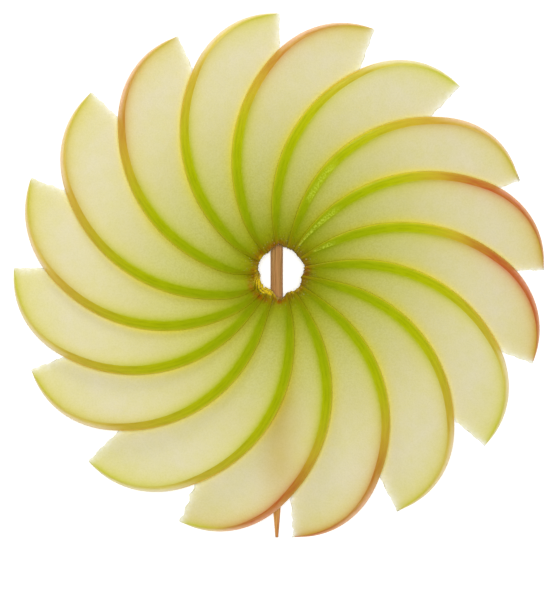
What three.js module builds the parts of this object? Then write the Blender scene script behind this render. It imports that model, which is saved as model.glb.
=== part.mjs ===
// An apple fan: sixteen thin apple slices set round a small hole like the blades of a wheel,
// each one over the one before it, with a wooden skewer under them. It lies flat with its shown side up.
// Sizes are in millimetres and degrees. +X is the fan's right, +Y its top and +Z its front.
import * as THREE from 'three';
import { mergeVertices } from 'three/addons/utils/BufferGeometryUtils.js';

// The whole fan.
const HOLE_RADIUS = 5.5;
const HOLE_UNEVENNESS = 0.2;
const HOLE_BUMPS = 7;
const CORE_RADIUS = 14.5;
const EVEN_SPACING = 22.5;

// Each slice's own cut: the bearing and reach of its tip, the radius of its skin's arc, and how
// far the arc's centre lies out along the straight cut edge and back behind that edge.
const SLICES = [
  { bearing: 90.4, reach: 61.9, radius: 36.8, out: 33.4, back: 12.7 },
  { bearing: 68.8, reach: 62.3, radius: 38.0, out: 33.8, back: 14.8 },
  { bearing: 45.9, reach: 61.8, radius: 36.9, out: 34.8, back: 14.3 },
  { bearing: 20.7, reach: 61.1, radius: 34.2, out: 34.7, back: 10.0 },
  { bearing: 0.2, reach: 63.1, radius: 38.0, out: 35.6, back: 14.1 },
  { bearing: -20.1, reach: 64.4, radius: 38.8, out: 36.4, back: 15.4 },
  { bearing: -40.6, reach: 64.5, radius: 37.9, out: 36.8, back: 14.5 },
  { bearing: -64.2, reach: 64.0, radius: 35.4, out: 36.1, back: 10.5 },
  { bearing: -87.4, reach: 63.9, radius: 35.3, out: 36.0, back: 10.7 },
  { bearing: -111.9, reach: 64.9, radius: 36.7, out: 36.1, back: 11.7 },
  { bearing: -135.4, reach: 65.0, radius: 36.6, out: 35.5, back: 11.3 },
  { bearing: -158.4, reach: 64.5, radius: 35.3, out: 36.1, back: 10.9 },
  { bearing: 179.4, reach: 64.1, radius: 35.0, out: 35.3, back: 9.6 },
  { bearing: 159.6, reach: 64.0, radius: 36.1, out: 33.4, back: 10.6 },
  { bearing: 136.7, reach: 62.6, radius: 37.6, out: 32.6, back: 11.3 },
  { bearing: 113.7, reach: 61.6, radius: 37.1, out: 32.7, back: 12.0 },
];

// A slice is a thin wedge: almost sharp along its straight cut edge, thick at its skin.
const EDGE_THICKNESS = 0.5;
const WEDGE_PER_MM = 0.085;

// The skin slants in from the back face to the front face, so it shows as a band from the front,
// which narrows towards the tip.
const BAND_WIDTH = 2.3;
const BAND_WIDTH_AT_TIP = 0.2;
const SKIN_INSETS = [0.12, 0.0, 0.38, 1.0];

// The arc tightens over its last stretch before the tip, and the tip is a little blunt.
const TIGHTER_STRETCH = 40;
const BLUNT_TIP = 0.5;

// The slices lean: at the hub and at the rim, one slice lies this far over the one before it.
const RISE_AT_HUB = 1.6;
const RISE_AT_RIM = 4.0;
const RIM_RADIUS = 64;
const DOME_RISE = 3.6;

// The skewer lies under the fan from just past the hole to beyond the lower rim.
const SKEWER_RADIUS = 1.5;
const SKEWER_ASIDE = -1.0;
const SKEWER_TOP = 9.5;
const SKEWER_TIP = -63.8;
const SKEWER_TAPER = 14;
const SKEWER_TIP_RADIUS = 0.35;
const SKEWER_ROUNDING = 0.3;
const SKEWER_SIDES = 16;

// How finely a slice is divided along its skin, across from edge to skin, and through.
const STEPS_ALONG = 22;
const STEPS_ACROSS = 4;
const STEPS_THROUGH = SKIN_INSETS.length - 1;
const STEPS_AT_CORE = 4;
const CORE_SHARE = STEPS_AT_CORE / STEPS_ALONG;

const radians = THREE.MathUtils.degToRad;
const degrees = THREE.MathUtils.radToDeg;

const appleFlesh = new THREE.MeshStandardMaterial({ color: 0xe3e0a6, roughness: 0.5, metalness: 0 });
const skewerWood = new THREE.MeshStandardMaterial({ color: 0xb8895a, roughness: 0.75, metalness: 0 });

// The radius of the skin's arc at one level through the slice (0 back, 1 front), 'along' of the
// way from the hub (0) to the tip (1), before it tightens towards the tip.
function arcRadius(slice, along, through) {
  const level = Math.round(through * STEPS_THROUGH);
  const band = THREE.MathUtils.lerp(BAND_WIDTH, BAND_WIDTH_AT_TIP, along ** 4);
  return slice.radius - band * SKIN_INSETS[level];
}

// Near the core the skin runs almost straight to the hole. 'inward' is 0 where the arc ends
// and 1 at the hole. The straight cut edge is the line y = 0.
function skinAtCore(slice, arc, inward) {
  const toCentre = Math.hypot(slice.out, slice.back);
  const cosine = (CORE_RADIUS ** 2 + toCentre ** 2 - arc ** 2) / (2 * CORE_RADIUS * toCentre);
  const cosineSlope = (CORE_RADIUS ** 2 - toCentre ** 2 + arc ** 2) / (2 * CORE_RADIUS ** 2 * toCentre);
  const arcEnd = Math.acos(cosine) - Math.atan2(slice.back, slice.out);
  const arcSlope = -cosineSlope / Math.sqrt(1 - cosine ** 2);

  const depth = (CORE_RADIUS - HOLE_RADIUS) * inward;
  const angle = arcEnd - arcSlope * depth * (1 - inward / 2);
  const radius = CORE_RADIUS - depth;
  return new THREE.Vector2(radius * Math.cos(angle), radius * Math.sin(angle));
}

// A point of the skin, from the hub (along = 0) round its arc to the tip (along = 1).
function skinPoint(slice, along, through) {
  const { reach, radius, out, back } = slice;
  const arc = arcRadius(slice, along, through);
  const pastCore = (along - CORE_SHARE) / (1 - CORE_SHARE);
  if (pastCore < 0) {
    return skinAtCore(slice, arc, 1 - along / CORE_SHARE);
  }
  const coreEnd = skinAtCore(slice, arc, 0);
  const coreTurn = Math.atan2(coreEnd.y + back, coreEnd.x - out);
  const tightening = radius - Math.hypot(reach - out, back);
  const tipArc = arcRadius(slice, 1, through) - tightening;
  const tipTurn = Math.asin(back / tipArc) + BLUNT_TIP / tipArc;

  const turn = THREE.MathUtils.lerp(coreTurn, tipTurn, pastCore);
  const nearTip = Math.max(0, 1 - (turn - tipTurn) / radians(TIGHTER_STRETCH));
  const tightArc = arc - tightening * nearTip ** 2;
  return new THREE.Vector2(out + tightArc * Math.cos(turn), tightArc * Math.sin(turn) - back);
}

// The middle of a slice's thickness: it rises from the cut edge to the skin, and the whole fan
// is domed, with its hub raised and its tips on the ground.
function middleHeight(slice, radius, angle) {
  const rise = THREE.MathUtils.mapLinear(radius, HOLE_RADIUS, RIM_RADIUS, RISE_AT_HUB, RISE_AT_RIM);
  const outward = (radius - HOLE_RADIUS) / (slice.reach - HOLE_RADIUS);
  const dome = DOME_RISE * (1 - outward ** 2) + EDGE_THICKNESS / 2;
  return dome + rise * (degrees(angle) / EVEN_SPACING);
}

// The hole's edge is a little ragged, which fades out along the slice.
function holeUnevenness(slice, angle, along) {
  const bearing = radians(slice.bearing) + angle;
  return HOLE_UNEVENNESS * Math.sin(HOLE_BUMPS * bearing) * (1 - along) ** 6;
}

// Where a point of a plain box lands in the slice: along from the hub to the tip, across from
// the cut edge to the skin, and through from the back face to the front face.
function pointInSlice(slice, along, across, through) {
  const skin = skinPoint(slice, along, through);
  const angle = skin.angle() * across;
  const radius = skin.length() + holeUnevenness(slice, angle, along);
  const x = radius * Math.cos(angle);
  const y = radius * Math.sin(angle);
  const thickness = EDGE_THICKNESS + WEDGE_PER_MM * y;
  const z = middleHeight(slice, radius, angle) + (through - 0.5) * thickness;
  return new THREE.Vector3(x, y, z);
}

function sliceGeometry(slice) {
  const box = new THREE.BoxGeometry(1, 1, 1, STEPS_ALONG, STEPS_ACROSS, STEPS_THROUGH);
  box.deleteAttribute('normal');
  box.deleteAttribute('uv');
  const geometry = mergeVertices(box);
  const points = geometry.getAttribute('position');
  for (let i = 0; i < points.count; i += 1) {
    const along = points.getX(i) + 0.5;
    const across = points.getY(i) + 0.5;
    const through = points.getZ(i) + 0.5;
    const place = pointInSlice(slice, along, across, through);
    points.setXYZ(i, place.x, place.y, place.z);
  }
  geometry.computeVertexNormals();
  return geometry;
}

function skewerGeometry() {
  const profile = [
    new THREE.Vector2(0, SKEWER_TIP),
    new THREE.Vector2(SKEWER_TIP_RADIUS, SKEWER_TIP),
    new THREE.Vector2(SKEWER_RADIUS, SKEWER_TIP + SKEWER_TAPER),
    new THREE.Vector2(SKEWER_RADIUS, SKEWER_TOP - SKEWER_ROUNDING),
    new THREE.Vector2(SKEWER_RADIUS - SKEWER_ROUNDING, SKEWER_TOP),
    new THREE.Vector2(0, SKEWER_TOP),
  ];
  return new THREE.LatheGeometry(profile, SKEWER_SIDES);
}

const wheel = new THREE.Group();

SLICES.forEach((slice, index) => {
  const blade = new THREE.Mesh(sliceGeometry(slice), appleFlesh.clone());
  blade.name = `slice_${String(index + 1).padStart(2, '0')}`;
  blade.rotation.z = radians(slice.bearing);
  wheel.add(blade);
});

const skewer = new THREE.Mesh(skewerGeometry(), skewerWood);
skewer.name = 'skewer';
skewer.position.set(SKEWER_ASIDE, 0, SKEWER_RADIUS);
wheel.add(skewer);

// The fan's outline is uneven, so it is shifted to stand centred over the origin.
const bounds = new THREE.Box3().setFromObject(wheel, true);
const middle = bounds.getCenter(new THREE.Vector3());
wheel.position.set(-middle.x, -middle.y, -bounds.min.z);

const group = new THREE.Group();
group.add(wheel);

export default group;
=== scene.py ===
"""Looks of the apple fan: sixteen thin apple slices laid round a small hole, and a skewer.

Lengths are in millimetres while a piece is shaped, and its last step turns it to metres.
+X is the fan's right, +Y its top and +Z its shown side.
"""

from __future__ import annotations

import logging
import math
from dataclasses import dataclass, field
from enum import Enum
from typing import Iterable, Sequence, Union

import bmesh
import bpy
import numpy as np
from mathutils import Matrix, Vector, noise

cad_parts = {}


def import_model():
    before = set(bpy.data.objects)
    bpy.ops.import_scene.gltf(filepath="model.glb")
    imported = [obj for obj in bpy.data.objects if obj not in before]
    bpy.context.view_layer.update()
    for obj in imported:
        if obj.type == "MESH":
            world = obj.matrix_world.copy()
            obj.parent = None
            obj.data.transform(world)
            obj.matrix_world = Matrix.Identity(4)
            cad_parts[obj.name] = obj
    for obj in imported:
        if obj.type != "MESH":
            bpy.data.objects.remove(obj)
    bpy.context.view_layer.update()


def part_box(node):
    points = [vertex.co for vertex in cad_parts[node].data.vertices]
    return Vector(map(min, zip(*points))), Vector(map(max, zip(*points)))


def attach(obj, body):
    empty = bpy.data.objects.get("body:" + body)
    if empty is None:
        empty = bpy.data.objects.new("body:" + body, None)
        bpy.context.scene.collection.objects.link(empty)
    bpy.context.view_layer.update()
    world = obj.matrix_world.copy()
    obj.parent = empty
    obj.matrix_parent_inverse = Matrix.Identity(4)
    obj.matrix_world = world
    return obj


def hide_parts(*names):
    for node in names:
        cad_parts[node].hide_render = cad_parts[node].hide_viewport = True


MM = 0.001
BODY = "root"

Array = np.ndarray
Colour = tuple[float, float, float, float]

log = logging.getLogger("apple_fan")


# --- Small helpers ---


def srgb(red: int, green: int, blue: int) -> Colour:
    """Turns a screen colour into the light values that a shader takes.

    Args:
        red: Red from 0 to 255.
        green: Green from 0 to 255.
        blue: Blue from 0 to 255.

    Returns:
        The colour as linear red, green, blue and a full alpha.
    """

    def linear(level: int) -> float:
        """One channel in linear light."""
        share = level / 255
        return share / 12.92 if share <= 0.04045 else ((share + 0.055) / 1.055) ** 2.4

    return linear(red), linear(green), linear(blue), 1.0


def lerp(low: Array | float, high: Array | float, share: Array | float) -> Array:
    """The value that lies a share of the way from low to high."""
    return low + (high - low) * share


def smooth(start: float, end: float, value: Array) -> Array:
    """Rises softly from 0 at start to 1 at end."""
    share = np.clip((value - start) / (end - start), 0.0, 1.0)
    return share * share * (3 - 2 * share)


def ripple(points: Array, pitch: float, seed: float) -> Array:
    """Smooth random waves.

    Args:
        points: Places in millimetres, one row of two or three numbers each.
        pitch: The length of a wave in millimetres.
        seed: Picks one pattern of waves out of many.

    Returns:
        A height from about -1 to 1 for each place.
    """
    flat = points.shape[1] == 2
    places = np.column_stack((points, np.zeros(len(points)))) if flat else points
    return np.array([noise.noise(Vector((x, y, z + seed))) for x, y, z in places / pitch])


def distance_to_line(points: Array, line: Array) -> Array:
    """How far each point lies from a line that is given by closely spaced points."""
    gaps = points[:, None, :] - line[None, :, :]
    return np.sqrt((gaps**2).sum(axis=2).min(axis=1))


# --- Shader recipes ---

Input = Union["Wire", float, Sequence[float]]


class Wire:
    """A node's output that can be used in Python sums."""

    def __init__(self, recipe: Recipe, socket: bpy.types.NodeSocket) -> None:
        """Keeps a node's output and the recipe that it belongs to."""
        self.recipe = recipe
        self.socket = socket

    def _maths(self, operation: str, first: Input, second: Input) -> Wire:
        """Adds one Math node and hands back its result."""
        return self.recipe.node("ShaderNodeMath", {"operation": operation}, {0: first, 1: second})

    def __add__(self, other: Input) -> Wire:
        """Sum."""
        return self._maths("ADD", self, other)

    def __radd__(self, other: Input) -> Wire:
        """Sum, with a number first."""
        return self._maths("ADD", other, self)

    def __sub__(self, other: Input) -> Wire:
        """Difference."""
        return self._maths("SUBTRACT", self, other)

    def __rsub__(self, other: Input) -> Wire:
        """Difference, with a number first."""
        return self._maths("SUBTRACT", other, self)

    def __mul__(self, other: Input) -> Wire:
        """Product."""
        return self._maths("MULTIPLY", self, other)

    def __rmul__(self, other: Input) -> Wire:
        """Product, with a number first."""
        return self._maths("MULTIPLY", other, self)

    def step(self, start: float, end: float) -> Wire:
        """A soft step, which is 0 at start and 1 at end."""
        settings = {"interpolation_type": "SMOOTHSTEP"}
        return self.recipe.node("ShaderNodeMapRange", settings, {0: self, 1: start, 2: end})

    def fading(self, reach: float) -> Wire:
        """1 where this distance is 0, and fading away over the reach."""
        return self._maths("EXPONENT", self * (-1 / reach), 0.0)

    def between(self, low: float, high: float) -> Wire:
        """The value that lies this share of the way from low to high."""
        return self * (high - low) + low


class Blend(Enum):
    """How one colour is laid over another."""

    OVER = "MIX"
    TINT = "MULTIPLY"


class Recipe:
    """A material that is built up node by node."""

    def __init__(self, name: str) -> None:
        """Starts a material of this name with one Principled shader."""
        self.material = bpy.data.materials.new(name)
        self.material.use_nodes = True
        self.tree = self.material.node_tree
        self.shader = self.tree.nodes["Principled BSDF"]

    def _feed(self, socket: bpy.types.NodeSocket, value: Input) -> None:
        """Links a wire to an input, or sets the input's number or vector."""
        if isinstance(value, Wire):
            self.tree.links.new(value.socket, socket)
        else:
            socket.default_value = value

    def node(
        self,
        kind: str,
        settings: dict[str, object] | None = None,
        inputs: dict[int | str, Input] | None = None,
        output: int | str = 0,
    ) -> Wire:
        """Adds a node.

        Args:
            kind: The node's type.
            settings: Its own settings, which are set first.
            inputs: The values or links of its inputs.
            output: Which output to hand back.

        Returns:
            The node's output.
        """
        node = self.tree.nodes.new(kind)
        for name, value in (settings or {}).items():
            setattr(node, name, value)
        for key, value in (inputs or {}).items():
            self._feed(node.inputs[key], value)
        return Wire(self, node.outputs[output])

    def ramp(self, factor: Wire, stops: Sequence[tuple[float, Colour]]) -> Wire:
        """Adds a colour ramp.

        Args:
            factor: Where on the ramp to read.
            stops: Places and colours, in order.

        Returns:
            The colour.
        """
        colour = self.node("ShaderNodeValToRGB", {}, {0: factor})
        elements = colour.socket.node.color_ramp.elements
        while len(elements) < len(stops):
            elements.new(1.0)
        for element, (place, shade) in zip(elements, stops):
            element.position = place
            element.color = shade
        return colour

    def blend(self, under: Input, over: Input, factor: Input, how: Blend = Blend.OVER) -> Wire:
        """Covers or tints one colour with another, by a factor from 0 to 1."""
        settings = {"data_type": "RGBA", "blend_type": how.value, "clamp_factor": True}
        return self.node("ShaderNodeMix", settings, {0: factor, 6: under, 7: over}, 2)

    def tinted(self, colour: Wire, *layers: tuple[Colour, Wire]) -> Wire:
        """Tints a colour several times.

        Args:
            colour: The colour below.
            layers: Each tint and how much of it shows, from the lowest up.

        Returns:
            The tinted colour.
        """
        for tint, strength in layers:
            colour = self.blend(colour, tint, strength, Blend.TINT)
        return colour

    def place(self) -> Wire:
        """The place on the piece, in metres in the shared frame."""
        return self.node("ShaderNodeTexCoord", output="Object")

    def stretched(self, scale: Sequence[float]) -> Wire:
        """The place on the piece, stretched by a factor along X, Y and Z."""
        return self.node("ShaderNodeMapping", {}, {"Vector": self.place(), "Scale": scale})

    def grain(self, pitch: float, detail: float = 2.0, where: Wire | None = None) -> Wire:
        """Noise from 0 to 1 in grains of a pitch in millimetres, with finer layers of detail."""
        inputs = {"Vector": where or self.place(), "Scale": 1 / (pitch * MM), "Detail": detail}
        return self.node("ShaderNodeTexNoise", {}, inputs)

    def held(self, mark: Mark) -> Wire:
        """A number that the mesh holds at each point."""
        return self.node("ShaderNodeAttribute", {"attribute_name": mark.value}, output="Fac")

    def vector_maths(self, operation: str, *vectors: Input, output: int | str = 0) -> Wire:
        """Adds one Vector Math node and hands back one of its outputs."""
        inputs = dict(enumerate(vectors))
        return self.node("ShaderNodeVectorMath", {"operation": operation}, inputs, output)

    def flat_from(self, hub: Vector) -> Wire:
        """How far a place lies from the hub, seen from the front, as a vector in metres."""
        shift = (-hub.x * MM, -hub.y * MM, 0.0)
        return self.vector_maths("MULTIPLY_ADD", self.place(), (1.0, 1.0, 0.0), shift)

    def fibres(self, from_hub: Wire, outward: Wire) -> Wire:
        """Fine streaks that run out from the hub.

        Args:
            from_hub: The flat vector from the hub.
            outward: A distance from the hub in millimetres, along which the streaks change slowly.

        Returns:
            Noise from 0 to 1.
        """
        towards = self.vector_maths("NORMALIZE", from_hub)
        along_streak = self.node("ShaderNodeCombineXYZ", {}, {2: outward * 0.04})
        where = self.vector_maths("ADD", towards, along_streak)
        inputs = {"Vector": where, "Scale": 11.0, "Detail": 4.0}
        return self.node("ShaderNodeTexNoise", {}, inputs).step(0.3, 0.7)

    def bumped(self, height: Wire, depth: float) -> None:
        """Roughens the surface with a relief from 0 to 1, of a depth in millimetres."""
        inputs = {"Height": height, "Distance": depth * MM, "Strength": 1.0}
        self.dress(Normal=self.node("ShaderNodeBump", {}, inputs))

    def dress(self, **inputs: Input) -> None:
        """Sets or links inputs of the shader, with _ for a space in their names."""
        for name, value in inputs.items():
            self._feed(self.shader.inputs[name.replace("_", " ")], value)


# --- Finishes ---


class Mark(Enum):
    """What a slice's mesh holds at each point for its finishes to read."""

    ALONG = "along"
    INSET = "inset"
    RIPENESS = "ripeness"
    BACKED = "backed"
    FROM_NEXT = "from_next"
    FROM_SKIN = "from_skin"
    FROM_CUT = "from_cut"
    BROWNED = "browned"
    GOLDEN = "golden"
    VEINED = "veined"
    STAINED = "stained"
    DEWY = "dewy"


@dataclass(frozen=True)
class FleshFinish:
    """Moist cut apple: cream at the rim, greener and deeper towards the hub.

    Attributes:
        hub: The fan's hub, in millimetres.
        rim: The radius where by_radius ends.
        by_radius: The flesh's colour at distances from the hub.
        shade_reach: How far the painted shade and yellow bounce light beside the next slice's skin reach.
        glow_reach: How far the light line at that skin's foot reaches.
        yellow_reach: How far the skin's yellow shines into the flesh.
        green_reach: How far the skin's green shines into the flesh.
        ripe_reaches: How far the skin's blush does, strongly and faintly.
        thin_reach: How far the painted backlight along the pale, thin straight edge reaches.
    """

    hub: Vector
    rim: float = 64.0
    shade_reach: float = 1.45
    glow_reach: float = 0.45
    yellow_reach: float = 1.5
    green_reach: float = 0.7
    ripe_reaches: tuple[float, float] = (0.8, 3.5)
    thin_reach: float = 0.9
    by_radius: tuple[tuple[float, Colour], ...] = (
        (5.6, srgb(132, 106, 4)),
        (7.5, srgb(137, 136, 9)),
        (9.5, srgb(147, 154, 30)),
        (12.0, srgb(160, 166, 66)),
        (16.0, srgb(176, 177, 96)),
        (20.0, srgb(187, 186, 114)),
        (28.0, srgb(198, 195, 132)),
        (36.0, srgb(207, 200, 147)),
        (44.0, srgb(214, 207, 161)),
        (52.0, srgb(217, 210, 174)),
        (60.0, srgb(216, 210, 156)),
    )
    # Painted shade and yellow bounce light on the flesh beside the next slice's skin.
    painted_light_beside_next: Colour = (1.10, 1.04, 0.03, 1.0)
    lit_line: Colour = (1.32, 1.27, 1.30, 1.0)
    under_skin: Colour = (1.0, 1.0, 0.0, 1.0)
    under_green_skin: Colour = (0.62, 0.75, 1.0, 1.0)
    under_ripe_skin: Colour = (0.96, 0.36, 0.75, 1.0)
    # Painted backlight: the thin straight edge is paled as if light shone through it.
    painted_backlit_edge: Colour = srgb(238, 236, 222)
    browned: Colour = srgb(146, 86, 6)
    # Painted glow of light on the torn edge of the hole.
    golden: Colour = srgb(236, 204, 30)
    vein: Colour = (0.80, 0.92, 0.45, 1.0)
    fine_shade: Colour = (0.88, 0.87, 0.73, 1.0)
    # Painted shadow of the skewer, seen through the flesh over it.
    skewer_shadow: Colour = (0.87, 0.77, 0.55, 1.0)
    # Painted glints: pale specks of light on the moist flesh near the hub.
    painted_wet_glint: Colour = srgb(232, 230, 190)
    broad_shade: Colour = (0.985, 0.99, 0.90, 1.0)

    def material(self) -> bpy.types.Material:
        """Builds the material."""
        recipe = Recipe("apple_flesh")
        from_hub = recipe.flat_from(self.hub)
        radius = recipe.vector_maths("LENGTH", from_hub, output="Value") * (1 / MM)
        near_hub = radius.step(10.0, 6.5)
        fine = recipe.grain(0.40, 3.0)
        uneven = recipe.grain(1.3, 2.0) - 0.5
        blotches = recipe.grain(3.2, 2.0)
        fibres = recipe.fibres(from_hub, radius)
        along = recipe.held(Mark.ALONG)
        outer = along.step(0.42, 0.64)
        at_tip = along.step(0.80, 0.97)

        from_next = recipe.held(Mark.FROM_NEXT)
        # Painted shade and yellow bounce light beside the next slice's skin, narrower towards the rim.
        beside = (from_next * radius.step(30.0, 52.0).between(1.0, 2.8)).fading(self.shade_reach) * 0.88
        glow = from_next.fading(self.glow_reach) * radius.step(18.0, 38.0)
        from_skin = recipe.held(Mark.FROM_SKIN) + uneven * 0.25
        yellow = from_skin.fading(self.yellow_reach) * (outer.between(1.0, 0.64) + at_tip * 0.30)
        green = from_skin.fading(self.green_reach) * (outer.between(1.0, 0.40) + at_tip * 0.32)
        green = green * radius.step(5.0, 12.0).between(0.3, 1.0)
        near, wide = self.ripe_reaches
        ripe = recipe.held(Mark.RIPENESS) * (from_skin.fading(near) * 0.8 + from_skin.fading(wide) * 0.25)
        # Painted backlight along the thin straight edge.
        backlit_edge = (recipe.held(Mark.FROM_CUT) + uneven * 1.4).fading(self.thin_reach)
        specks = fine.step(0.35, 0.70) * radius.step(12.0, 40.0).between(1.0, 0.34)
        # Painted glints of light near the hub.
        glint_specks = recipe.grain(0.45, 2.0).step(0.62, 0.72) * near_hub * 0.3

        stops = [(place / self.rim, colour) for place, colour in self.by_radius]
        colour = recipe.ramp(radius * (1 / self.rim), stops)
        colour = recipe.tinted(
            colour,
            (self.painted_light_beside_next, beside),
            (self.lit_line, glow),
            (self.under_skin, yellow),
            (self.under_green_skin, green),
            (self.under_ripe_skin, ripe),
        )
        colour = recipe.blend(colour, self.painted_backlit_edge, backlit_edge)
        colour = recipe.tinted(
            colour,
            (self.vein, recipe.held(Mark.VEINED)),
            # Painted shadow of the skewer, seen through the flesh over it.
            (self.skewer_shadow, recipe.held(Mark.STAINED)),
            (self.fine_shade, specks),
            (self.broad_shade, blotches.step(0.35, 0.70)),
        )
        # Painted glow of light on the torn edge of the hole.
        colour = recipe.blend(colour, self.golden, recipe.held(Mark.GOLDEN) * fibres.between(0.85, 1.2))
        colour = recipe.blend(colour, self.browned, recipe.held(Mark.BROWNED) * fibres.between(1.3, 0.4))
        colour = recipe.blend(colour, self.painted_wet_glint, glint_specks)

        wetness = near_hub.between(1.0, 0.45)
        recipe.dress(Base_Color=colour, Roughness=fine.between(0.42, 0.58) * wetness)
        recipe.dress(Subsurface_Weight=0.12, Subsurface_Radius=(1.0, 0.9, 0.45), Subsurface_Scale=0.001)
        recipe.dress(Specular_IOR_Level=0.25, Specular_Tint=(1.0, 1.0, 0.1, 1.0))
        recipe.bumped(fine + fibres * near_hub * 3.0, 0.05)
        return recipe.material


@dataclass(frozen=True)
class SkinFinish:
    """Glossy skin: green at the hub, yellow further out, and blushed towards the tip.

    Attributes:
        hub: The fan's hub, in millimetres.
        middle: The colour of the band's middle, by the share of the way along it.
        outer: The colour of its outer edge.
    """

    hub: Vector
    middle: tuple[tuple[float, Colour], ...] = (
        (0.03, srgb(131, 117, 5)),
        (0.08, srgb(128, 131, 3)),
        (0.13, srgb(129, 142, 2)),
        (0.20, srgb(139, 155, 3)),
        (0.30, srgb(152, 166, 4)),
        (0.40, srgb(166, 175, 5)),
        (0.50, srgb(176, 180, 12)),
        (0.60, srgb(186, 179, 36)),
        (0.70, srgb(197, 181, 62)),
        (0.77, srgb(214, 204, 102)),
        (0.88, srgb(214, 208, 112)),
        (1.00, srgb(210, 206, 112)),
    )
    outer: tuple[tuple[float, Colour], ...] = (
        (0.05, srgb(139, 138, 9)),
        (0.13, srgb(144, 149, 11)),
        (0.20, srgb(154, 161, 18)),
        (0.30, srgb(170, 175, 25)),
        (0.40, srgb(183, 184, 33)),
        (0.50, srgb(189, 186, 35)),
        (0.60, srgb(194, 176, 42)),
        (0.70, srgb(205, 178, 74)),
    )
    # Painted sheen and backlight: pale and rosy colours for the skin's outer edge where no slice lies
    # behind it.
    pale: Colour = srgb(236, 229, 190)
    rosy: Colour = srgb(244, 178, 150)
    blush: Colour = srgb(182, 92, 44)
    lit_rim: Colour = (1.42, 1.25, 1.0, 1.0)
    early_blush: Colour = srgb(214, 150, 66)
    streak: Colour = (0.86, 0.88, 0.7, 1.0)
    line: Colour = (0.93, 0.92, 0.80, 1.0)
    # Painted glints of light on fine beads of juice on the skin.
    painted_dew_glint: Colour = srgb(192, 208, 66)

    def material(self) -> bpy.types.Material:
        """Builds the material."""
        recipe = Recipe("apple_skin")
        along = recipe.held(Mark.ALONG)
        inset = recipe.held(Mark.INSET)
        ripeness = recipe.held(Mark.RIPENESS)
        open_behind = 1.0 - recipe.held(Mark.BACKED)
        mottle = recipe.grain(1.2, 4.0)
        fine = recipe.grain(0.3, 3.0)
        lengthwise = recipe.node("ShaderNodeCombineXYZ", {}, {0: along * 22.0, 1: inset * 5.0})
        streaks = recipe.node("ShaderNodeTexNoise", {}, {"Vector": lengthwise, "Scale": 1.0, "Detail": 4.0})
        fibres = recipe.fibres(recipe.flat_from(self.hub), along * 60.0)

        line = inset.step(0.50, 0.74) * inset.step(1.02, 0.84) * along.step(0.40, 0.60)
        glint_specks = recipe.grain(0.42, 2.0).step(0.30, 0.70) * inset.step(0.25, 0.50)
        redness = ripeness * streaks.between(0.55, 1.5) * inset.step(-0.1, 0.45).between(0.75, 1.05)
        # Painted sheen and backlight on the skin's outer edge towards the tip, where no slice lies behind
        # it.
        painted_sheen_strip = (inset + mottle * 0.3).step(0.94, 0.16) * along.step(0.66, 0.78)
        painted_sheen_strip = painted_sheen_strip * ripeness.step(0.55, 0.75).between(0.85, 0.55)

        middle = recipe.ramp(along, self.middle)
        colour = recipe.blend(middle, recipe.ramp(along, self.outer), 1.0 - inset.step(0.02, 0.38))
        colour = recipe.tinted(
            colour,
            (self.streak, streaks.step(0.42, 0.72)),
            (self.lit_rim, inset.step(0.12, 0.02)),
            (self.line, line),
        )
        # Painted glints of light on fine beads of juice.
        colour = recipe.blend(colour, self.painted_dew_glint, recipe.held(Mark.DEWY) * glint_specks * 0.6)
        blush = recipe.blend(self.early_blush, self.blush, ripeness.step(0.25, 0.60))
        colour = recipe.blend(colour, blush, redness)
        pale = recipe.blend(self.pale, self.rosy, ripeness * 1.1)
        colour = recipe.blend(colour, pale, open_behind * painted_sheen_strip)
        colour = recipe.blend(colour, FleshFinish.browned, recipe.held(Mark.BROWNED) * fibres)

        recipe.dress(Base_Color=colour, Roughness=mottle.between(0.25, 0.5))
        recipe.dress(Coat_Weight=0.05, Coat_Roughness=0.18, Subsurface_Weight=0.12)
        recipe.dress(Subsurface_Radius=(1.0, 0.8, 0.3), Subsurface_Scale=0.001)
        recipe.dress(Specular_IOR_Level=0.22, Specular_Tint=(1.0, 1.0, 0.1, 1.0))
        recipe.bumped(fine + streaks * 1.5, 0.03)
        return recipe.material


@dataclass(frozen=True)
class WoodFinish:
    """Plain bamboo with fine lengthwise grain."""

    pale: Colour = srgb(190, 150, 88)
    dark: Colour = srgb(130, 100, 44)
    rosy: Colour = srgb(180, 124, 76)
    tip: Colour = (1.25, 1.08, 0.85, 1.0)
    tip_lightens: tuple[float, float] = (-0.040, -0.055)

    def material(self) -> bpy.types.Material:
        """Builds the material."""
        recipe = Recipe("skewer_wood")
        broad = recipe.grain(0.9, 3.0, recipe.stretched((1.0, 0.02, 1.0)))
        fibres = recipe.grain(0.22, 4.0, recipe.stretched((1.0, 0.03, 1.0)))
        colour = recipe.blend(self.pale, self.rosy, broad.step(0.35, 0.65))
        colour = recipe.blend(colour, self.dark, fibres.step(0.45, 0.75))
        upward = recipe.node("ShaderNodeSeparateXYZ", {}, {0: recipe.place()}, "Y")
        colour = recipe.blend(colour, self.tip, upward.step(*self.tip_lightens), Blend.TINT)
        recipe.dress(Base_Color=colour, Roughness=fibres.between(0.55, 0.8))
        recipe.bumped(fibres, 0.06)
        return recipe.material


@dataclass(frozen=True)
class FloorFinish:
    """A plain pale table that glows faintly, as a light table does."""

    colour: Colour = (0.93, 0.93, 0.93, 1.0)
    glow: float = 0.3

    def material(self) -> bpy.types.Material:
        """Builds the material."""
        recipe = Recipe("pale_floor")
        recipe.dress(Base_Color=self.colour, Roughness=0.7)
        recipe.dress(Emission_Color=(1.0, 1.0, 1.0, 1.0), Emission_Strength=self.glow)
        return recipe.material


# --- Making pieces ---


class Layer(Enum):
    """A slice's material slots."""

    FLESH = 0
    SKIN = 1


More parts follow.
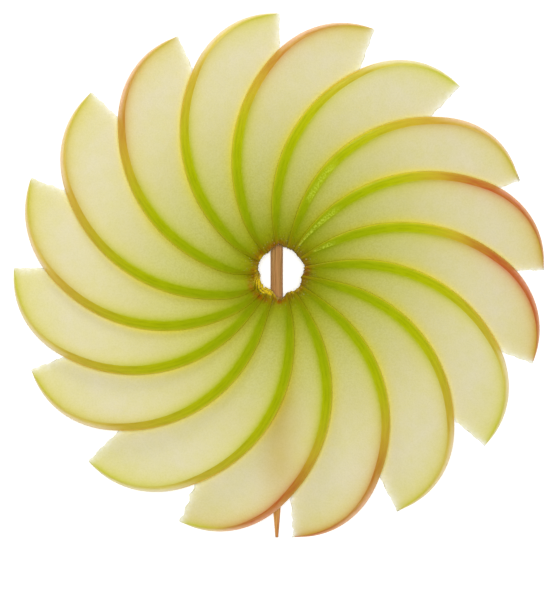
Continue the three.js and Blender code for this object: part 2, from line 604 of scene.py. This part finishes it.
def rounded(shape: bmesh.types.BMesh, edges: list[bmesh.types.BMEdge], radius: float) -> None:
    """Rounds some of a shape's edges."""
    settings = {"segments": 2, "profile": 0.5, "affect": "EDGES", "material": -1}
    bmesh.ops.bevel(shape, geom=edges, offset=radius, **settings)


def slab(size: Sequence[float], steps: Sequence[int], rounding: float) -> bmesh.types.BMesh:
    """A block with rounded edges, divided evenly along its three sides.

    Args:
        size: Its length, width and thickness.
        steps: How many steps to divide each of them in.
        rounding: The radius of its edges.

    Returns:
        The block, centred on the origin.
    """
    block = bmesh.new()
    bmesh.ops.create_cube(block, size=1.0)
    bmesh.ops.scale(block, vec=size, verts=block.verts)
    rounded(block, block.edges[:], rounding)
    for axis, count in enumerate(steps):
        long_edges = [
            edge
            for edge in block.edges
            if abs((edge.verts[0].co - edge.verts[1].co)[axis]) > size[axis] / 2
        ]
        bmesh.ops.subdivide_edges(block, edges=long_edges, cuts=count - 1)
    return block


def finished(name: str, mesh: bpy.types.Mesh, node: str) -> bpy.types.Object:
    """Puts a finished mesh in the scene and ties it to the frame.

    Args:
        name: The piece's name.
        mesh: Its mesh, in metres in the shared frame.
        node: The node that it stands for.

    Returns:
        The piece.
    """
    piece = bpy.data.objects.new(name, mesh)
    bpy.context.scene.collection.objects.link(piece)
    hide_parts(node)
    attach(piece, BODY)
    log.info("%s: %d faces", name, len(mesh.polygons))
    return piece


@dataclass(frozen=True)
class Cut:
    """How one slice was cut from its apple.

    Attributes:
        bearing: Degrees anticlockwise from +X to its straight cut edge.
        reach: How far its tip lies from the hub.
        radius: The radius of its skin's arc.
        out: How far the arc's centre lies out along the straight cut edge.
        back: How far the arc's centre lies back behind that edge.
        blush: How red its skin turns towards the tip, from 0 to 1.
        tip_blush: The share of that blush that reaches the tip itself.
        scallops: How far its straight cut edge waves in and out near the tip.
        dewy: Where along its skin fine beads of juice, painted with glints, begin and end, as shares of its
            length.
    """

    bearing: float
    reach: float
    radius: float
    out: float
    back: float
    blush: float
    tip_blush: float = 0.75
    scallops: float = 0.06
    dewy: tuple[float, float] = (0.0, 0.0)


@dataclass(frozen=True)
class TornHole:
    """The small ragged hole between the inner ends of the slices.

    Bearings and their widths are in degrees, anticlockwise from +X.

    Attributes:
        radius: Its radius.
        unevenness: How far its edge waves in and out.
        bumps: How many waves its edge has.
        nicks: The bearing, depth and width of each place where it is torn wider.
        flare: The bearing, depth and width of the side that flares open to the front.
        lowest: The height where the flare begins.
        highest: The height where the flare is widest.
        tears: The pitch and depth of its fringe, coarse and fine.
        glows: The bearing, width and strength of each patch of painted glow along the edge.
        browned: The bearing, width, distance out from the edge and strength of each brown patch.
    """

    radius: float = 5.5
    unevenness: float = 0.2
    bumps: int = 7
    nicks: tuple[tuple[float, float, float], ...] = (
        (28.0, 0.25, 30.0),
        (72.0, 0.30, 18.0),
        (94.0, 1.15, 11.0),
        (142.0, 0.55, 10.0),
        (267.0, 1.25, 12.0),
        (307.0, 0.50, 14.0),
    )
    flare: tuple[float, float, float] = (219.0, 2.10, 34.0)
    lowest: float = 4.2
    highest: float = 10.0
    tears: tuple[tuple[float, float], ...] = ((1.5, 0.30), (0.5, 0.22))
    glows: tuple[tuple[float, float, float], ...] = (
        (219.0, 37.0, 1.00),
        (304.0, 14.0, 0.45),
        (148.0, 16.0, 0.40),
    )
    browned: tuple[tuple[float, float, float, float], ...] = (
        (102.0, 20.0, 0.6, 0.95),
        (146.0, 20.0, 0.8, 0.65),
        (186.0, 14.0, 0.8, 0.70),
        (225.0, 30.0, 1.9, 0.95),
        (267.0, 20.0, 1.0, 1.00),
        (318.0, 24.0, 0.4, 0.40),
        (4.0, 20.0, 0.6, 0.85),
    )

    def swell(self, bearing: Array, middle: float, width: float) -> Array:
        """1 at a middle bearing, fading out over the width to both sides."""
        away = (bearing - middle + 180) % 360 - 180
        return np.exp(-((away / width) ** 2))

    def edge_shift(self, bearing: Array, outside: Array, height: Array) -> Array:
        """How far the edge and what lies near it are pushed outwards.

        Args:
            bearing: The bearing of each point.
            outside: How far each point lies outside an even edge.
            height: The height of each point.

        Returns:
            The outward shift of each point.
        """
        shift = self.unevenness * np.sin(self.bumps * np.radians(bearing))
        for middle, depth, width in self.nicks:
            shift = shift + depth * self.swell(bearing, middle, width)
        middle, depth, width = self.flare
        rising = smooth(self.lowest, self.highest, height)
        shift = shift + depth * self.swell(bearing, middle, width) * rising
        return shift * np.exp(-np.maximum(outside, 0) / 2.6)

    def fringe(self, around: Array, outside: Array, seed: float) -> Array:
        """How far the torn fringe shifts points that lie this far outside an even edge."""
        waves = sum(depth * ripple(around, pitch, seed) for pitch, depth in self.tears)
        return 1.6 * waves * np.exp(-np.maximum(outside, 0) / 1.2)

    def golden(self, bearing: Array, outside: Array) -> Array:
        """How strongly the torn edge is painted with glow, from 0 to 1."""
        patches = [strength * self.swell(bearing, middle, width) for middle, width, strength in self.glows]
        return np.max(patches, axis=0) * (1 - smooth(0.20, 0.75, outside))

    def brownness(self, bearing: Array, outside: Array) -> Array:
        """How browned the flesh is, from 0 to 1."""
        patches = [
            strength * self.swell(bearing, middle, width) * np.exp(-(((outside - start) / 0.9) ** 2))
            for middle, width, start, strength in self.browned
        ]
        return np.max(patches, axis=0)


@dataclass(frozen=True)
class SliceShape:
    """The form of one slice, as a block of apple that is bent to its place in the fan.

    A place in the block is given as its share along the skin from the hub to the tip, across
    from the straight cut edge to the skin, and through from the back to the shown side.
    """

    cut: Cut
    seed: float
    hole: TornHole = TornHole()
    core_radius: float = 14.5
    core_share: float = 4 / 22
    even_spacing: float = 22.5
    edge_thickness: float = 0.5
    wedge_per_mm: float = 0.085
    band_width: float = 2.25
    band_width_at_tip: float = 0.2
    band_share_at_hub: float = 0.38
    drawn_in: float = 0.25
    swell_at_tip: float = 0.22
    tighter_stretch: float = 40.0
    blunt_tip: float = 0.5
    rise_at_hub: float = 1.6
    rise_at_rim: float = 4.0
    rim_radius: float = 64.0
    dome_rise: float = 3.6
    ragged_depth: float = 0.22
    ragged_pitches: tuple[float, float] = (2.4, 0.8)
    scallop_pitch: float = 3.1
    dents: tuple[tuple[float, float], ...] = ((8.0, 0.07), (2.0, 0.03))

    def sine_and_cosine(self) -> tuple[float, float]:
        """The sine and cosine of the slice's bearing."""
        bearing = math.radians(self.cut.bearing)
        return math.sin(bearing), math.cos(bearing)

    def turned(self, x: Array, y: Array) -> Array:
        """Turns places from the slice's own axes to rows of two numbers about the hub."""
        sine, cosine = self.sine_and_cosine()
        return np.column_stack((x * cosine - y * sine, x * sine + y * cosine))

    def unturned(self, places: Array) -> tuple[Array, Array]:
        """How far places about the hub lie out along the straight cut edge, and in front of it."""
        sine, cosine = self.sine_and_cosine()
        x, y = places.T
        return x * cosine + y * sine, y * cosine - x * sine

    def inset(self, through: Array) -> Array:
        """How far in the skin lies: 0 at its outermost line, 1 where the shown side begins."""
        level = 3 * through
        slant = 0.25 * level * (level - 1) - 0.0433 * level * (level - 1) * (level - 2)
        return 0.12 - 0.12 * level + slant

    def arc(self, along: Array, inset: Array) -> Array:
        """The radius of the skin's arc before it tightens towards the tip."""
        width = lerp(self.band_width, self.band_width_at_tip, along**4)
        width = width * lerp(self.band_share_at_hub, 1.0, smooth(0.0, 0.30, along))
        shift = lerp(-self.drawn_in, self.swell_at_tip, smooth(0.66, 0.92, along))
        return self.cut.radius + shift - width * inset

    def skin_at_core(self, arc: Array, inward: Array) -> tuple[Array, Array]:
        """Near the hub the skin runs almost straight to the hole.

        Args:
            arc: The radius of the skin's arc.
            inward: 0 where the arc ends and 1 at the hole.

        Returns:
            The skin's place in the slice's own axes.
        """
        core = self.core_radius
        to_centre = math.hypot(self.cut.out, self.cut.back)
        cosine = (core**2 + to_centre**2 - arc**2) / (2 * core * to_centre)
        cosine_slope = (core**2 - to_centre**2 + arc**2) / (2 * core**2 * to_centre)
        arc_end = np.arccos(cosine) - math.atan2(self.cut.back, self.cut.out)
        arc_slope = -cosine_slope / np.sqrt(1 - cosine**2)
        depth = (core - self.hole.radius) * inward
        angle = arc_end - arc_slope * depth * (1 - inward / 2)
        radius = core - depth
        return radius * np.cos(angle), radius * np.sin(angle)

    def skin(self, along: Array, inset: Array) -> tuple[Array, Array]:
        """The line of the skin, from the hub round its arc to the tip.

        Args:
            along: The share of the way from the hub to the tip.
            inset: How far in the line lies, as a share of the band's width.

        Returns:
            Its places in the slice's own axes.
        """
        cut = self.cut
        arc = self.arc(along, inset)
        past_core = (along - self.core_share) / (1 - self.core_share)
        core_x, core_y = self.skin_at_core(arc, np.clip(-past_core * (1 / self.core_share - 1), 0, 1))

        end_x, end_y = self.skin_at_core(arc, np.zeros_like(arc))
        core_turn = np.arctan2(end_y + cut.back, end_x - cut.out)
        tightening = cut.radius - math.hypot(cut.reach - cut.out, cut.back)
        tip_arc = cut.radius - self.band_width_at_tip * inset - tightening
        tip_turn = np.arcsin(cut.back / tip_arc) + self.blunt_tip / tip_arc
        turn = lerp(core_turn, tip_turn, np.clip(past_core, 0, 1))
        near_tip = np.clip(1 - (turn - tip_turn) / math.radians(self.tighter_stretch), 0, 1)
        tight_arc = arc - tightening * near_tip**2
        x = cut.out + tight_arc * np.cos(turn)
        y = tight_arc * np.sin(turn) - cut.back
        return np.where(past_core < 0, core_x, x), np.where(past_core < 0, core_y, y)

    def skin_line(self, inset: float) -> Array:
        """The line of the skin about the hub as closely spaced points, seen from the front."""
        along = np.linspace(0, 1, 260)
        return self.turned(*self.skin(along, np.full_like(along, inset)))

    def covers(self, places: Array, softness: float) -> Array:
        """1 for places about the hub well inside this slice's outline, and 0 well outside it."""
        x, y = self.unturned(places)
        within_skin = self.cut.radius - np.hypot(x - self.cut.out, y + self.cut.back)
        return smooth(-softness, softness, np.minimum(y, within_skin))

    def middle_height(self, radius: Array, angle: Array) -> Array:
        """How high over the table the middle of the slice's thickness lies.

        Args:
            radius: The distance from the hub.
            angle: The angle from the straight cut edge, in radians.

        Returns:
            The height of each place.
        """
        outward = (radius - self.hole.radius) / (self.rim_radius - self.hole.radius)
        rise = lerp(self.rise_at_hub, self.rise_at_rim, outward)
        own_outward = (radius - self.hole.radius) / (self.cut.reach - self.hole.radius)
        dome = self.dome_rise * (1 - own_outward**2) + self.edge_thickness / 2
        return dome + rise * np.degrees(angle) / self.even_spacing

    def bend(self, shares: Array) -> Array:
        """Bends the block to the slice's form.

        Args:
            shares: The shares along, across and through, one row for each point.

        Returns:
            The points about the hub, one row of three numbers each.
        """
        along, across, through = shares.T
        x, y = self.skin(along, self.inset(through))
        angle = np.arctan2(y, x) * across
        radius = np.hypot(x, y)
        around = np.column_stack((radius * np.cos(angle), radius * np.sin(angle), 2 * through))
        outside = radius - self.hole.radius
        bearing = self.cut.bearing + np.degrees(angle)
        radius = radius + self.hole.edge_shift(bearing, outside, self.middle_height(radius, angle))
        radius = radius + self.hole.fringe(around, outside, self.seed)

        x, y = radius * np.cos(angle), radius * np.sin(angle)
        ragged = np.exp(-y / 0.8) * self.ragged_depth * smooth(8.0, 14.0, radius)
        coarse, fine = self.ragged_pitches
        y = y + ragged * (ripple(around, coarse, self.seed + 5) + ripple(around, fine, self.seed + 9))
        turns = radius / self.scallop_pitch
        waves = np.sin(2 * np.pi * turns + 1.5 * ripple(around, 5.0, self.seed + 7))
        y = y + self.cut.scallops * waves * np.exp(-y / 1.5) * smooth(35.0, 48.0, radius)

        thickness = self.edge_thickness + self.wedge_per_mm * np.maximum(y, 0)
        height = self.middle_height(radius, angle) + (through - 0.5) * thickness
        for pitch, depth in self.dents:
            height = height + depth * ripple(around, pitch, self.seed)
        return np.column_stack((self.turned(x, y), height))


# The slices from the one at the top, clockwise. Their bearings and sizes are the solids' own.
CUTS = (
    Cut(90.4, 61.9, 36.8, 33.4, 12.7, blush=0.22),
    Cut(68.8, 62.3, 38.0, 33.8, 14.8, blush=0.60),
    Cut(45.9, 61.8, 36.9, 34.8, 14.3, blush=0.06),
    Cut(20.7, 61.1, 34.2, 34.7, 10.0, blush=0.42, dewy=(0.21, 0.38)),
    Cut(0.2, 63.1, 38.0, 35.6, 14.1, blush=0.85, dewy=(0.02, 0.27)),
    Cut(-20.1, 64.4, 38.8, 36.4, 15.4, blush=0.95, dewy=(0.06, 0.20)),
    Cut(-40.6, 64.5, 37.9, 36.8, 14.5, blush=0.10),
    Cut(-64.2, 64.0, 35.4, 36.1, 10.5, blush=0.22),
    Cut(-87.4, 63.9, 35.3, 36.0, 10.7, blush=0.62, tip_blush=1.30, scallops=0.2),
    Cut(-111.9, 64.9, 36.7, 36.1, 11.7, blush=0.80, tip_blush=0.12, scallops=0.2),
    Cut(-135.4, 65.0, 36.6, 35.5, 11.3, blush=0.08),
    Cut(-158.4, 64.5, 35.3, 36.1, 10.9, blush=0.20),
    Cut(179.4, 64.1, 35.0, 35.3, 9.6, blush=0.15),
    Cut(159.6, 64.0, 36.1, 33.4, 10.6, blush=0.28),
    Cut(136.7, 62.6, 37.6, 32.6, 11.3, blush=0.32),
    Cut(113.7, 61.6, 37.1, 32.7, 12.0, blush=0.55),
)


@dataclass(frozen=True)
class Vein:
    """A faint greenish vein in the flesh of one slice.

    Attributes:
        slice_number: Which slice it is in, from 1.
        start: One end, about the hub.
        end: The other end, about the hub.
        width: How wide it is.
    """

    slice_number: int
    start: tuple[float, float]
    end: tuple[float, float]
    width: float

    def strength(self, places: Array) -> Array:
        """How strongly it shows at places about the hub, from 0 to 1."""
        line = np.linspace(self.start, self.end, 24)
        waves = 0.4 * ripple(line, 2.0, 3.0)
        return np.exp(-((distance_to_line(places, line + waves[:, None]) / self.width) ** 2))


@dataclass(frozen=True)
class SkewerShadow:
    """The warm painted shadow of the skewer, which shows through the slice over it.

    Attributes:
        slice_number: Which slice it shows in, from 1.
        across: Where its middle lies along X, about the hub.
        half_width: How wide it is on each side of its middle.
        start: Where it begins along Y, about the hub.
        end: Where it ends along Y, about the hub.
        fading: How far it takes to fade at its ends.
    """

    slice_number: int = 10
    across: float = -0.7
    half_width: float = 4.6
    start: float = -25.0
    end: float = -52.0
    fading: float = 7.0

    def strength(self, places: Array) -> Array:
        """How strongly it shows at places about the hub, from 0 to 1."""
        waves = 0.5 * ripple(places, 6.0, 21.0)
        band = np.exp(-(((places[:, 0] + waves - self.across) / self.half_width) ** 2))
        begun = smooth(self.start + self.fading, self.start - self.fading, places[:, 1])
        ended = smooth(self.end - self.fading, self.end + self.fading, places[:, 1])
        return band * begun * ended


@dataclass
class SliceWheel:
    """The sixteen slices: each lies over the one before it."""

    hub: Vector
    steps: tuple[int, int, int] = (160, 60, 9)
    block: tuple[float, float, float] = (90.0, 24.0, 2.4)
    rounding: float = 0.12
    crowding: float = 0.55
    far: float = 40.0
    veins: tuple[Vein, ...] = (
        Vein(15, (-26.4, 26.2), (-24.4, 23.2), 0.5),
        Vein(7, (25.6, -26.2), (29.6, -29.6), 0.45),
    )
    skewer_shadow: SkewerShadow = SkewerShadow()
    shapes: list[SliceShape] = field(default_factory=list)

    def build(self, materials: dict[Layer, bpy.types.Material]) -> list[bpy.types.Object]:
        """Makes every slice.

        Args:
            materials: The material of each layer.

        Returns:
            The slices in order.
        """
        self.shapes = [SliceShape(cut, 10.0 * index) for index, cut in enumerate(CUTS)]
        block = slab(self.block, self.steps, self.rounding)
        for face in block.faces:
            face.smooth = True
            face.material_index = (Layer.SKIN if face.normal.y > 0.5 else Layer.FLESH).value
        pieces = [self.slice(index, block, materials) for index in range(len(self.shapes))]
        block.free()
        return pieces

    def slice(
        self, index: int, block: bmesh.types.BMesh, materials: dict[Layer, bpy.types.Material]
    ) -> bpy.types.Object:
        """Makes one slice from the block.

        Args:
            index: Its place in the fan, from 0.
            block: The block of apple that every slice is bent from.
            materials: The material of each layer.

        Returns:
            The slice.
        """
        name = f"slice_{index + 1:02d}"
        mesh = bpy.data.meshes.new(f"apple_{name}")
        block.to_mesh(mesh)
        for layer in Layer:
            mesh.materials.append(materials[layer])
        corners = np.empty(len(mesh.vertices) * 3)
        mesh.vertices.foreach_get("co", corners)
        shares = corners.reshape(-1, 3) / self.block + 0.5
        shares[:, :2] -= self.crowding * np.sin(2 * np.pi * shares[:, :2]) / (2 * np.pi)
        points = self.shapes[index].bend(np.clip(shares, 0, 1))
        for mark, values in self.marks(index, shares, points).items():
            layer = mesh.attributes.new(mark.value, "FLOAT", "POINT")
            layer.data.foreach_set("value", values)
        places = (points + np.array(self.hub)) * MM
        mesh.vertices.foreach_set("co", places.ravel())
        mesh.update()
        return finished(f"apple_{name}", mesh, name)

    def marks(self, index: int, shares: Array, points: Array) -> dict[Mark, Array]:
        """Works out what a slice's finishes read from its mesh.

        Args:
            index: The slice's place in the fan, from 0.
            shares: The shares along, across and through of each point.
            points: Where the points are, about the hub.

        Returns:
            The numbers of each mark.
        """
        shape = self.shapes[index]
        before = self.shapes[index - 1]
        after = self.shapes[(index + 1) % len(self.shapes)]
        flat = points[:, :2]
        along, _, through = shares.T
        in_front = smooth(0.3, 0.7, through)
        from_next = distance_to_line(flat, after.skin_line(0.0)) + self.far * (1 - in_front)
        back_skin = distance_to_line(flat, shape.skin_line(float(shape.inset(0.0))))
        front_skin = distance_to_line(flat, shape.skin_line(1.0))
        ripening = smooth(0.40, 0.74, along) * lerp(1.0, shape.cut.tip_blush, smooth(0.80, 0.97, along))
        bearing = np.degrees(np.arctan2(flat[:, 1], flat[:, 0]))
        outside = np.hypot(flat[:, 0], flat[:, 1]) - shape.hole.radius
        from_edge = outside - shape.hole.edge_shift(bearing, outside, points[:, 2])
        veined = [vein.strength(flat) * in_front for vein in self.veins if vein.slice_number == index + 1]
        first, last = shape.cut.dewy
        dewy = smooth(first, first + 0.03, along) * smooth(last, last - 0.05, along) * (last > 0)
        stained = self.skewer_shadow.strength(flat) * (self.skewer_shadow.slice_number == index + 1)
        return {
            Mark.ALONG: along,
            Mark.INSET: shape.inset(through),
            Mark.RIPENESS: shape.cut.blush * ripening,
            Mark.BACKED: before.covers(flat, 0.4),
            Mark.FROM_NEXT: from_next,
            Mark.FROM_SKIN: lerp(back_skin, front_skin, through),
            Mark.FROM_CUT: np.maximum(shape.unturned(flat)[1], 0),
            Mark.BROWNED: shape.hole.brownness(bearing, from_edge),
            Mark.GOLDEN: shape.hole.golden(bearing, from_edge),
            Mark.VEINED: sum(veined, np.zeros(len(flat))),
            Mark.STAINED: stained * in_front,
            Mark.DEWY: dewy,
        }


@dataclass
class Skewer:
    """The wooden skewer under the slices, with its point beyond the lower rim."""

    hub: Vector
    radius: float = 1.5
    aside: float = -1.0
    top: float = 9.5
    tip: float = -63.8
    taper: float = 14.0
    tip_radius: float = 0.35
    rounding: float = 0.3
    sides: int = 48
    rings: int = 120
    facets: int = 5
    facet_depth: float = 0.03
    end_rounding: float = 0.08

    def build(self, material: bpy.types.Material) -> bpy.types.Object:
        """Makes the skewer.

        Args:
            material: Its wood.

        Returns:
            The skewer.
        """
        rod = bmesh.new()
        bmesh.ops.create_cone(rod, cap_ends=True, segments=self.sides, radius1=1.0, radius2=1.0, depth=1.0)
        long_edges = [edge for edge in rod.edges if abs(edge.verts[0].co.z - edge.verts[1].co.z) > 0.5]
        bmesh.ops.subdivide_edges(rod, edges=long_edges, cuts=self.rings - 1)
        for vertex in rod.verts:
            vertex.co = self.shaped(vertex.co)
        ends = [edge for edge in rod.edges if edge.calc_face_angle(0.0) > math.radians(60)]
        rounded(rod, ends, self.end_rounding)
        for face in rod.faces:
            face.smooth = True
        middle = self.hub + Vector((self.aside, 0.0, self.radius))
        bmesh.ops.translate(rod, vec=middle, verts=rod.verts)
        bmesh.ops.scale(rod, vec=(MM, MM, MM), verts=rod.verts)
        bmesh.ops.recalc_face_normals(rod, faces=rod.faces)
        mesh = bpy.data.meshes.new("skewer_rod")
        rod.to_mesh(mesh)
        rod.free()
        mesh.materials.append(material)
        return finished("skewer_rod", mesh, "skewer")

    def shaped(self, corner: Vector) -> Vector:
        """Gives a corner of a plain rod its place on the skewer.

        Args:
            corner: The corner, on a rod along Z of radius 1 and length 1.

        Returns:
            Its place, with the skewer along Y.
        """
        y = self.tip + (self.top - self.tip) * (corner.z + 0.5)
        from_tip = min(1.0, (y - self.tip) / self.taper)
        radius = self.tip_radius + (self.radius - self.tip_radius) * from_tip
        from_top = max(0.0, 1 - (self.top - y) / self.rounding)
        angle = math.atan2(corner.y, corner.x)
        whittled = 1 - self.facet_depth * (0.5 + 0.5 * math.cos(self.facets * angle)) * from_tip
        radius = (radius - self.rounding * from_top) * whittled
        wave = 0.02 * noise.noise(Vector((corner.x * 2, corner.y * 2, y / 6)))
        return Vector((corner.x * radius * (1 + wave), y, corner.y * radius * (1 + wave)))


@dataclass
class Studio:
    """The pale floor, the soft lights and the camera that looks down on the fan."""

    frame_width: float = 0.1336
    target: Vector = field(default_factory=lambda: Vector((0.00003, -0.0059, 0.004)))
    distance: float = 1.4
    sensor: float = 36.0
    floor_size: float = 6.0
    sky: float = 0.28

    def build(self, floor_material: bpy.types.Material) -> None:
        """Sets up the floor with its finish, the camera, the sky and the lamps."""
        self.add_floor(floor_material)
        self.add_camera()
        self.add_sky()
        self.add_lamp("overhead", Vector((0.0, 0.02, 1.90)), 0.8, 29.4, glints=False)
        self.add_lamp("window", Vector((-0.25, 0.75, 0.30)), 0.25, 1.6, glints=True)
        bpy.context.scene.view_settings.view_transform = "Standard"

    def add_floor(self, material: bpy.types.Material) -> None:
        """Lays the floor with its finish."""
        grid = bmesh.new()
        bmesh.ops.create_grid(grid, x_segments=1, y_segments=1, size=self.floor_size / 2)
        mesh = bpy.data.meshes.new("floor")
        grid.to_mesh(mesh)
        grid.free()
        mesh.materials.append(material)
        floor = bpy.data.objects.new("floor", mesh)
        bpy.context.scene.collection.objects.link(floor)

    def add_camera(self) -> None:
        """Hangs the camera over the fan, with the fan's top at the top of the picture."""
        lens = bpy.data.cameras.new("camera")
        lens.sensor_fit = "HORIZONTAL"
        lens.sensor_width = self.sensor
        lens.lens = self.sensor * self.distance / self.frame_width
        lens.clip_start = 0.01
        camera = bpy.data.objects.new("camera", lens)
        camera.location = self.target + Vector((0, 0, self.distance))
        bpy.context.scene.collection.objects.link(camera)
        bpy.context.scene.camera = camera

    def add_sky(self) -> None:
        """Surrounds the studio with even white light."""
        world = bpy.data.worlds.new("white_tent")
        world.use_nodes = True
        background = world.node_tree.nodes["Background"]
        background.inputs["Color"].default_value = (1.0, 1.0, 1.0, 1.0)
        background.inputs["Strength"].default_value = self.sky
        bpy.context.scene.world = world

    def add_lamp(self, name: str, place: Vector, size: float, power: float, glints: bool) -> None:
        """Hangs one soft lamp that points at the fan.

        Args:
            name: The lamp's name.
            place: Where it hangs, in metres.
            size: How wide it is, in metres.
            power: Its power in watts.
            glints: Whether glossy surfaces mirror it, which a polarised lamp avoids.
        """
        light = bpy.data.lights.new(name, "AREA")
        light.shape = "DISK"
        light.size = size
        light.energy = power
        lamp = bpy.data.objects.new(name, light)
        lamp.location = place
        lamp.rotation_euler = (-place).to_track_quat("-Z", "Y").to_euler()
        lamp.visible_glossy = glints
        bpy.context.scene.collection.objects.link(lamp)


def hub_place(skewer: Skewer) -> Vector:
    """Finds the hub in the shared frame from where the skewer's node lies.

    Args:
        skewer: The skewer's sizes about the hub.

    Returns:
        The hub's place in millimetres.
    """
    lowest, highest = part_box("skewer")
    x = (lowest[0] + highest[0]) / 2 / MM - skewer.aside
    y = highest[1] / MM - skewer.top
    return Vector((x, y, lowest[2] / MM))


def main() -> None:
    """Builds the fan round the frame, then the studio round the fan."""
    logging.basicConfig(level=logging.INFO, format="%(name)s: %(message)s")
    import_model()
    Studio().build(FloorFinish().material())

    hub = hub_place(Skewer(Vector()))
    log.info("hub at %.3f, %.3f mm", hub.x, hub.y)
    layers = {Layer.FLESH: FleshFinish(hub).material(), Layer.SKIN: SkinFinish(hub).material()}
    SliceWheel(hub).build(layers)
    Skewer(hub).build(WoodFinish().material())


if __name__ == "__main__":
    main()
